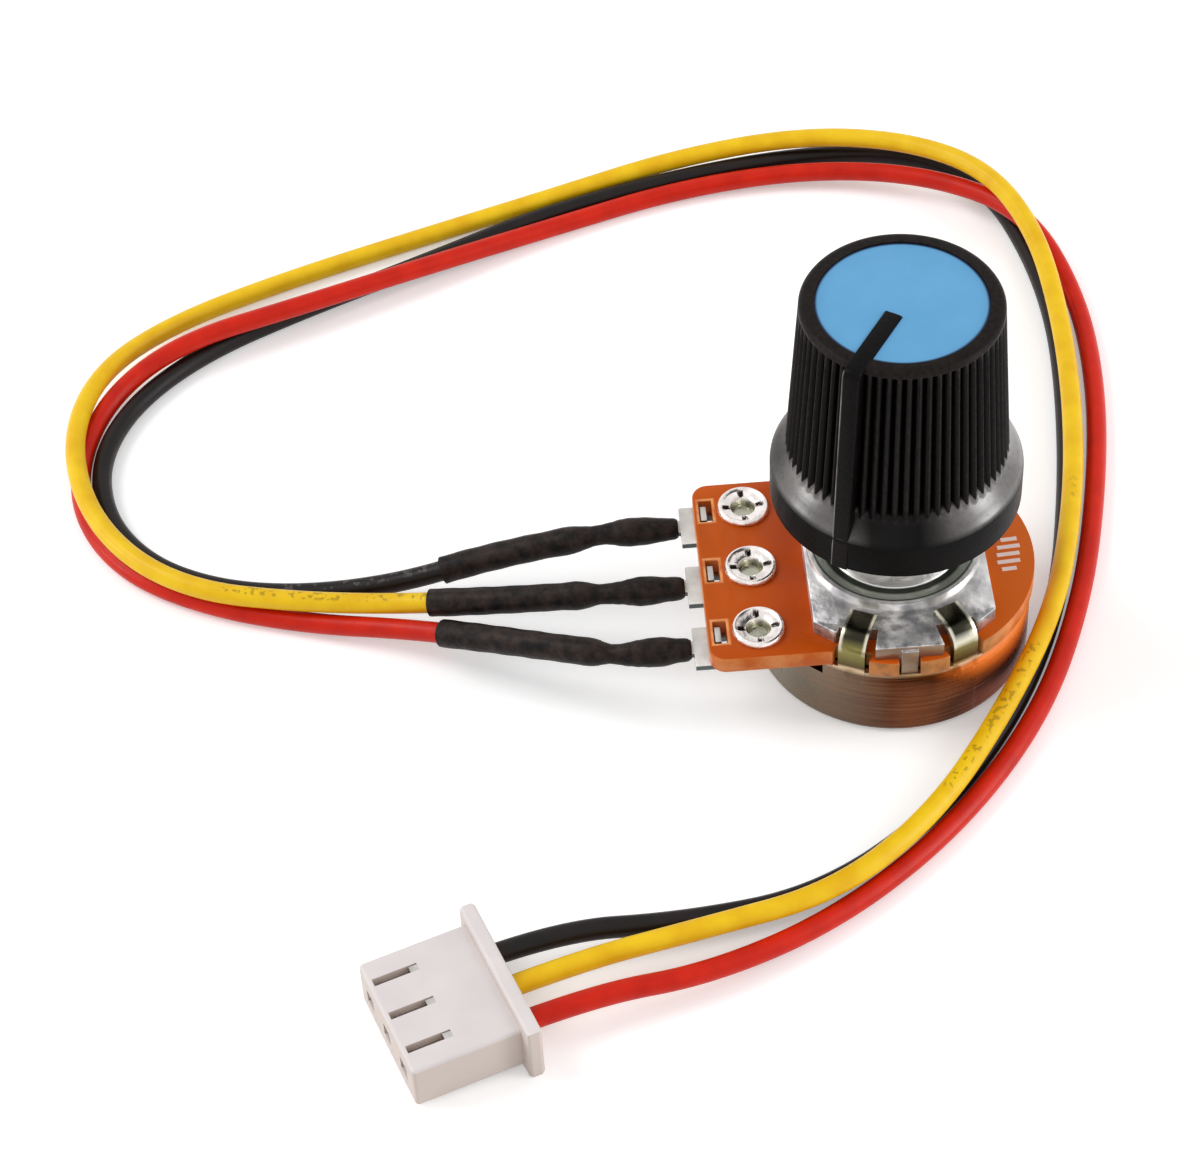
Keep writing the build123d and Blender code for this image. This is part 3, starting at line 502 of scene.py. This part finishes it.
# The flare under the ribs is painted grey, with a clear coat, at its left and right where the low lamps
# reflect: a painted sheen. The shade mask keeps it dark at the front.
slope = radius + height.between(16.18, 17.2) * 0.54
painted_highlight = slope.between(6.86, 6.8) + height.between(16.2, 16.1)
painted_highlight = painted_highlight.sum("MINIMUM", painted_highlight, 1.0) * height.between(17.3, 16.9) * height.between(15.15, 15.5)
# The rib crests low on the grip are painted a little lighter: a painted highlight.
crest = (radius + height * rib_lean).between(7.52, 7.64) * height.between(16.2, 17.2)
crest = crest * grain.between(0.2, 0.7)
colour = black.blend(crest, (0.0008, 0.0005, 0.0005, 1), (0.016, 0.012, 0.011, 1))
colour = black.blend(height.between(27.1, 27.7) * grain, colour, (0.022, 0.017, 0.015, 1))
painted_highlight = painted_highlight * (black.noise(0.16, 1.0).between(0.36, 0.62) * 0.75 + 0.25) * grain.between(-0.6, 0.5)
shade = black.axis("X") + 0.9
shade = shade.size().between(3.2, 1.4) * black.axis("Y").between(-4.0, -5.5)
painted_highlight = painted_highlight * (1 - shade * 0.93)
black.put(Base_Color=black.blend(painted_highlight, colour, (0.12, 0.108, 0.102, 1)), Coat_Weight=painted_highlight,
          Roughness=black.noise(1.5) * 0.15 + 0.3, Normal=black.relief(grain, 0.02))
piece("ribbed_knob", shape, black, "spindle", "knob_body")

shape = bmesh.new()
side_view = [(1.05, 26.7), (1.05, 27.83), (6.15, 27.83), (6.45, 27.72), (6.6, 27.4), (7.62, 12.95),
             (7.0, 12.95), (5.5, 25.8), (4.9, 26.7)]
edge_loop = [shape.verts.new((x * MM, -pointer_half * MM, z * MM)) for x, z in side_view]
made = bmesh.ops.extrude_face_region(shape, geom=[shape.faces.new(edge_loop)])
far_side = [part for part in made["geom"] if isinstance(part, bmesh.types.BMVert)]
bmesh.ops.translate(shape, vec=(0, 2 * pointer_half * MM, 0), verts=far_side)
bmesh.ops.recalc_face_normals(shape, faces=shape.faces)
bmesh.ops.bevel(shape, geom=list(shape.edges), offset=0.1 * MM, offset_type="OFFSET", affect="EDGES",
                segments=3, profile=0.5, material=-1, clamp_overlap=True)
bmesh.ops.rotate(shape, verts=shape.verts, cent=(0, 0, 0), matrix=Matrix.Rotation(pointer_angle, 3, "Z"))
pointer = Finish("black_pointer", "knob_black", Specular_IOR_Level=0.07)
grain = pointer.noise(3.5)
skin = pointer.blend(grain.between(0.3, 0.8), (0.001, 0.0007, 0.0007, 1), (0.004, 0.003, 0.0028, 1))
# A thin grey line along the fin's left edge is a painted highlight.
across = pointer.axis("X") * math.sin(pointer_angle) - pointer.axis("Y") * math.cos(pointer_angle)
outer = (pointer.radius() + pointer.axis("Z") * pointer_lean).between(8.33, 8.42)
painted_highlight = outer * across.between(0.4, 0.46) * pointer.noise(0.6).between(0.1, 0.6)
skin = pointer.blend(painted_highlight, skin, (0.24, 0.22, 0.21, 1))
pointer.put(Base_Color=skin,
            Roughness=pointer.noise(1.5) * 0.15 + 0.3, Normal=pointer.relief(grain, 0.02))
piece("pointer_fin", shape, pointer, "spindle")

blue = Finish("matt_blue", "cap_blue", Specular_IOR_Level=0.3)
skin = blue.blend(blue.noise(0.4).between(0.3, 0.7), paint(94, 160, 206), paint(100, 165, 211))
# A thin dark blue ring at the cap's edge is painted shade under the black rim.
blue.put(Base_Color=blue.blend(blue.radius().between(4.78, 4.9), skin, paint(26, 50, 86)),
         Roughness=blue.noise(2.0) * 0.1 + 0.5, Normal=blue.relief(blue.noise(5.0, 3.0), 0.008))
eased("knob_cap", "blue_cap", blue, 0.06, "spindle")

# ---- wires ----------------------------------------------------------------------------------
# Three thin stranded leads in soft vinyl, black, yellow and red from the rear. They start inside
# their sleeves, make one loose loop on the table and end in the plug.
joint_level = 5.1
wire_radius = 0.65


def in_plug(along, across):
    """A point of the plug's frame, at the wires' level."""
    turn = math.radians(200.4)
    return (-24.9 + along * math.cos(turn) - across * math.sin(turn),
            -26.45 + along * math.sin(turn) + across * math.cos(turn), 2.0)


routes = {
    "black": [
        (-24.6, 5.5, 3.3), (-30.5, 5.5, 1.4), (-36.8, 5.8, 0.68), (-42.2, 6.9, 0.68), (-46.6, 9.6, 0.68),
        (-49.3, 13.9, 0.68), (-49.8, 19.2, 0.68), (-47.6, 24.3, 0.68), (-42.9, 28.7, 0.68),
        (-36.2, 32.2, 0.68), (-28.1, 35.8, 0.68), (-19.2, 40.1, 0.68), (-9.4, 43.0, 0.68),
        (-0.1, 44.4, 0.68), (7.4, 43.5, 0.68), (11.9, 39.1, 0.68), (13.7, 32.3, 0.68), (14.3, 25.5, 0.68),
        (13.8, 18.0, 0.68), (12.6, 9.6, 0.68), (10.6, 0.5, 0.68), (6.6, -8.2, 0.68), (0.6, -15.8, 0.68),
        (-6.8, -20.8, 0.68), (-14.9, -22.4, 1.3), in_plug(-3.8, -2.5), in_plug(2.2, -2.5),
    ],
    "yellow": [
        (-25.1, 1.5, 3.6), (-31.7, 3.2, 2.2), (-37.1, 4.1, 2.06), (-43.0, 5.5, 2.10), (-47.6, 8.9, 2.09),
        (-50.6, 14.2, 2.09), (-51.5, 20.6, 2.10), (-49.7, 26.7, 1.7), (-44.9, 31.6, 0.9),
        (-37.4, 35.2, 0.68), (-28.5, 38.4, 0.68), (-19.2, 41.6, 0.68), (-9.8, 44.3, 1.3),
        (-0.9, 44.7, 2.2), (6.4, 42.5, 2.9), (11.4, 38.1, 3.6), (13.8, 31.8, 3.3), (14.4, 24.3, 2.2),
        (13.9, 15.9, 1.98), (12.5, 7.3, 2.07), (10.1, -1.1, 2.10), (5.8, -9.0, 2.10), (0.6, -16.4, 2.01),
        (-5.8, -21.5, 1.91), (-13.9, -23.6, 2.2), in_plug(-3.8, 0.0), in_plug(2.2, 0.0),
    ],
    "red": [
        (-21.5, -3.2, 4.35), (-25.4, -1.1, 3.2), (-30.1, 1.5, 1.6), (-36.0, 3.3, 0.68), (-42.2, 5.3, 0.68),
        (-47.6, 8.6, 0.68), (-50.8, 13.8, 0.68), (-51.1, 19.8, 0.68), (-48.8, 25.0, 1.3),
        (-44.1, 28.4, 2.12), (-36.8, 31.0, 1.99), (-28.1, 34.6, 1.5), (-19.0, 38.6, 0.68),
        (-9.7, 41.7, 0.68), (-0.3, 42.3, 1.1), (7.8, 39.9, 1.8), (13.7, 35.0, 2.3), (16.2, 27.7, 0.68),
        (16.0, 18.7, 0.68), (14.4, 9.4, 0.68), (12.0, 0.3, 0.68), (8.1, -8.5, 0.68), (2.0, -16.3, 0.68),
        (-5.5, -22.4, 0.8), (-13.4, -26.1, 1.3), in_plug(-3.8, 2.5), in_plug(2.2, 2.5),
    ],
}
bends = {"black": (-17.7, terminal_pitch, joint_level), "yellow": (-17.5, 0.0, joint_level),
         "red": (-17.3, -terminal_pitch, joint_level)}


def halfway(start, end):
    return tuple((low + high) / 2 for low, high in zip(start, end))


def lead(name, points, radii, finish, kind="NURBS"):
    """A round flexible piece along a smooth line through its points, with a radius at each."""
    curve = bpy.data.curves.new(name, "CURVE")
    curve.dimensions = "3D"
    curve.bevel_depth = 1.0 * MM
    curve.bevel_resolution = 6
    curve.resolution_u = 16
    curve.use_fill_caps = True
    spline = curve.splines.new(kind)
    spline.points.add(len(points) - 1)
    for point, place, radius in zip(spline.points, points, radii):
        point.co = (place[0] * MM, place[1] * MM, place[2] * MM, 1.0)
        point.radius = radius
    spline.order_u = 3
    spline.use_endpoint_u = True
    curve.materials.append(finish.material)
    made = bpy.data.objects.new(name, curve)
    bpy.context.collection.objects.link(made)
    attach(made, "base")
    return made


def vinyl(name, slot, colour, shade, print_colour=None):
    """Soft insulation: a little uneven in colour, with a fine matt grain. Printed wires have
    groups of faint flecks along their upper side in front."""
    finish = Finish(name, slot, Specular_IOR_Level=0.22)
    cloud = finish.noise(0.5, 2.0)
    skin = finish.blend(cloud.between(0.35, 0.75), colour, shade)
    if print_colour:
        flecks = finish.noise(2.7, 1.0).between(0.56, 0.6) * finish.noise(0.07, 0.0).between(0.51, 0.54)
        flecks = flecks * finish.facing("Z").between(0.8, 0.93) * finish.axis("Y").between(10.0, 7.0)
        skin = finish.blend(flecks * 0.5, skin, print_colour)
    return finish.put(Base_Color=skin,
                      Roughness=finish.noise(1.5) * 0.15 + 0.3,
                      Normal=finish.relief(finish.noise(6.0, 2.0), 0.01))


vinyls = {
    "black": vinyl("black_vinyl", "wire_black", paint(18, 13, 13), paint(30, 22, 20), paint(96, 92, 90)),
    "yellow": vinyl("yellow_vinyl", "wire_yellow", paint(240, 197, 24), paint(228, 176, 10),
                    paint(120, 92, 20)),
    "red": vinyl("red_vinyl", "wire_red", paint(208, 32, 4), paint(186, 22, 2)),
}
for colour, points in routes.items():
    points.insert(0, halfway(bends[colour], points[0]))
    lead(f"{colour}_wire", points, [wire_radius] * len(points), vinyls[colour])
    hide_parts(f"wire_{colour}")

# ---- soldered joints and sleeves ------------------------------------------------------------
# The tinned strands are soldered along each tag, and black shrink tubing covers the joint: fat
# over the solder, pinched behind it, and then close round the wire as far as its cut end.
plain("solder_drop", "solder", ["solder_1", "solder_2", "solder_3"], (0.5, 0.5, 0.5, 1), 1.0, 0.3)


def smooth_line(points, parts=14):
    """Places along the smooth line that a wire takes through the same points."""
    places = [points[0]]
    start = points[0]
    for corner, after in zip(points[1:], points[2:]):
        end = points[-1] if after is points[-1] else halfway(corner, after)
        for step in range(1, parts + 1):
            t = step / parts
            places.append(tuple(a * (1 - t) ** 2 + 2 * b * t * (1 - t) + c * t ** 2
                                for a, b, c in zip(start, corner, end)))
        start = end
    return places


shrink = Finish("shrink_tube", "sleeve_plastic", Specular_IOR_Level=0.14)
wrinkle = shrink.noise(1.3, 5.0, rough=0.62)
shrink.put(Base_Color=shrink.blend(wrinkle.between(0.38, 0.7), paint(14, 9, 8), paint(54, 42, 37)),
           Roughness=shrink.noise(2.0) * 0.2 + 0.34, Normal=shrink.relief(wrinkle, 0.09))
sleeve_start = -12.75
sleeve_reach = -27.0
mouth_radius = 0.56
lip_length = 0.4
profile = [(-6.0, 0.69), (-4.6, 0.7), (-3.9, 0.75), (-2.7, 0.89), (-2.0, 0.9), (-1.4, 0.83),
           (-0.8, 0.72), (-0.2, 0.64), (0.35, 0.62), (0.8, 0.7), (1.3, 0.83), (1.9, 0.89), (3.0, 0.85),
           (6.0, 0.86), (12.0, 0.88)]
for number, (colour, points) in enumerate(routes.items()):
    bend = bends[colour]
    last = next(k for k, point in enumerate(points) if point[0] < sleeve_reach) - 1
    line = [(x, bend[1], joint_level) for x in (sleeve_start, -14.2, bend[0] + 1.6)] + [bend]
    line += points[1:last + 1] + [halfway(points[last], points[last + 1])]
    places = smooth_line(line)
    travelled = bend[0] - sleeve_start
    radii = []
    for before, place in zip(places[:1] + places, places):
        travelled += math.dist(before, place)
        near = next(k for k, (distance, _) in enumerate(profile) if distance > travelled)
        (low, thin), (high, thick) = profile[near - 1:near + 1]
        share = (travelled - low) / (high - low)
        share = share * share * (3 - 2 * share)
        radius = thin + (thick - thin) * share + 0.015 * math.sin(3.1 * travelled + 2 * number)
        from_lip = 1 - min(1.0, math.dist(place, places[0]) / lip_length)
        radii.append(mouth_radius + (radius - mouth_radius) * math.sqrt(1 - from_lip ** 2))
    lead(f"{colour}_sleeve", places, radii, shrink, "POLY")
    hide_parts(f"sleeve_{colour}")

# ---- plug and contacts ----------------------------------------------------------------------
# A white nylon housing with a flange at the wires' end and three windows, through which the
# catches of the crimped contacts show.
nylon = Finish("white_nylon", "plug_plastic", Specular_IOR_Level=0.4)
skin = nylon.blend(nylon.noise(0.3).between(0.35, 0.7), paint(224, 216, 214), paint(216, 208, 208))
# The housing's sides are painted darker than its top: painted shade.
nylon.put(Base_Color=nylon.blend(nylon.facing("Z").between(0.6, 0.1), skin, paint(206, 192, 184)),
          Roughness=nylon.noise(1.5) * 0.15 + 0.38, Normal=nylon.relief(nylon.noise(3.0, 2.0), 0.008))
housing = eased("plug_housing", "nylon_plug", nylon, 0.24, outer=True)
contacts = ["contact_1", "contact_2", "contact_3"]
plain("contact_tin", "contact_metal", contacts, (0.62, 0.60, 0.57, 1), 1.0, 0.3)

for contact, colour in zip(contacts, routes):
    colour == "black"
    start = routes[colour][0]
    [value * MM for value in start]
